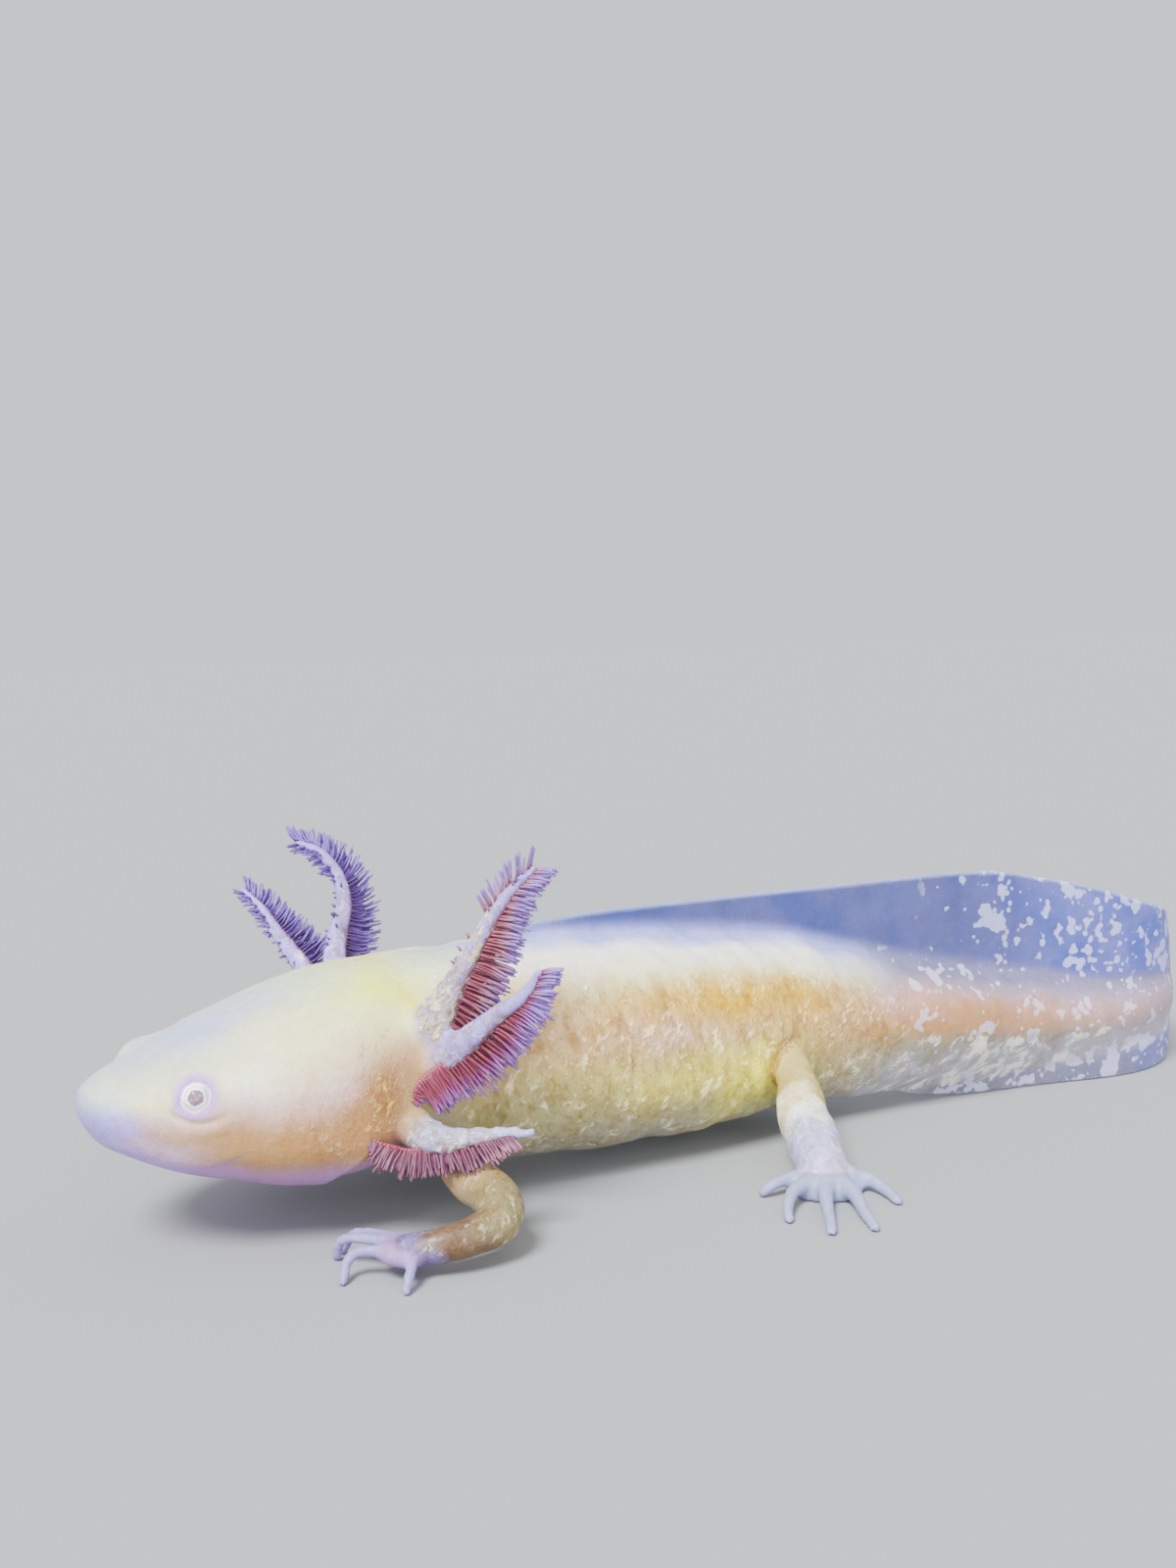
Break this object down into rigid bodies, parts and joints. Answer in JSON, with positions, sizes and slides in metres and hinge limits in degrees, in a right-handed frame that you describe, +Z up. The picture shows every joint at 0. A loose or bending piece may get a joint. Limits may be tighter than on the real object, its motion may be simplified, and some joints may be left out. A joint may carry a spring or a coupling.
{
  "type": "axolotl model",
  "caption": "Still, life-size model of a young golden albino axolotl, resting on its toes with gills spread and the tail end folded to one side.",
  "frame": {"origin": "middle of the animal's outline seen from above, at floor level", "axes": "-X towards the snout, +X towards the tail, -Y towards the animal's left side, +Z up"},
  "size_m": [0.1174, 0.0486, 0.0314],
  "materials": {
    "skin": "moist satin skin, cream to golden yellow with fine white flecks",
    "throat": "moist satin skin, peach",
    "fin": "thin, milky, translucent fin with white blotches",
    "limb": "moist satin skin, golden peach",
    "digit": "moist satin skin, pale lavender",
    "gill": "moist satin, pale mottled stalks with magenta filaments",
    "eye": "glossy pale eye with a white ring round a pinkish pupil"
  },
  "bodies": {
    "root": {"head": "skin", "lower_jaw": "throat", "eye_left": "eye", "eye_right": "eye", "neck": "skin", "chest": "skin", "belly": "skin", "pelvis": "skin", "tail_base": "skin", "tail_middle": "skin", "tail_end": "skin", "fin_neck": "fin", "fin_back": "fin", "fin_rump": "fin", "fin_tail_base_upper": "fin", "fin_tail_middle_upper": "fin", "fin_tail_end_upper": "fin", "fin_tail_base_lower": "fin", "fin_tail_middle_lower": "fin", "fin_tail_end_lower": "fin", "fin_tail_tip": "fin", "gill_left_upper": "gill", "gill_left_middle": "gill", "gill_left_lower": "gill", "gill_right_upper": "gill", "gill_right_middle": "gill", "gill_right_lower": "gill", "upper_arm_left": "limb", "forearm_left": "limb", "hand_left": "digit", "thigh_left": "limb", "shank_left": "limb", "foot_left": "digit", "upper_arm_right": "limb", "forearm_right": "limb", "hand_right": "digit", "thigh_right": "limb", "shank_right": "limb", "foot_right": "digit"}
  },
  "joints": []
}
